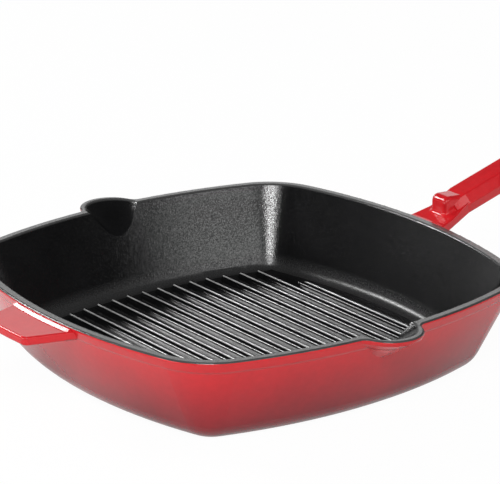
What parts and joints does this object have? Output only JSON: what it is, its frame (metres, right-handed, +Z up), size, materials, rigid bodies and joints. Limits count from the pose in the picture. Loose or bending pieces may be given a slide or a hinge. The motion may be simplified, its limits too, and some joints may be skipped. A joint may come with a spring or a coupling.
{
  "type": "grill pan",
  "caption": "Square enamelled cast-iron grill pan with raised ribs, side pouring spouts, a long handle with a hanging hole and a helper tab.",
  "frame": {"origin": "middle of the pan, on the plane of the foot ring that it stands on", "axes": "+X from the pan's middle along the main handle, +Z up, the pouring spouts on the Y axis and the helper tab on -X"},
  "size_m": [0.4366, 0.2892, 0.0929],
  "materials": {
    "cast_iron": "raw grey iron, hidden under the enamel",
    "black_enamel": "matte black enamel",
    "red_enamel": "glossy red enamel, darker towards the base",
    "base_enamel": "dark satin enamel"
  },
  "bodies": {
    "root": {"cast_iron_body": "cast_iron", "cooking_enamel": "black_enamel", "colour_enamel": "red_enamel", "underside_enamel": "base_enamel"}
  },
  "joints": []
}
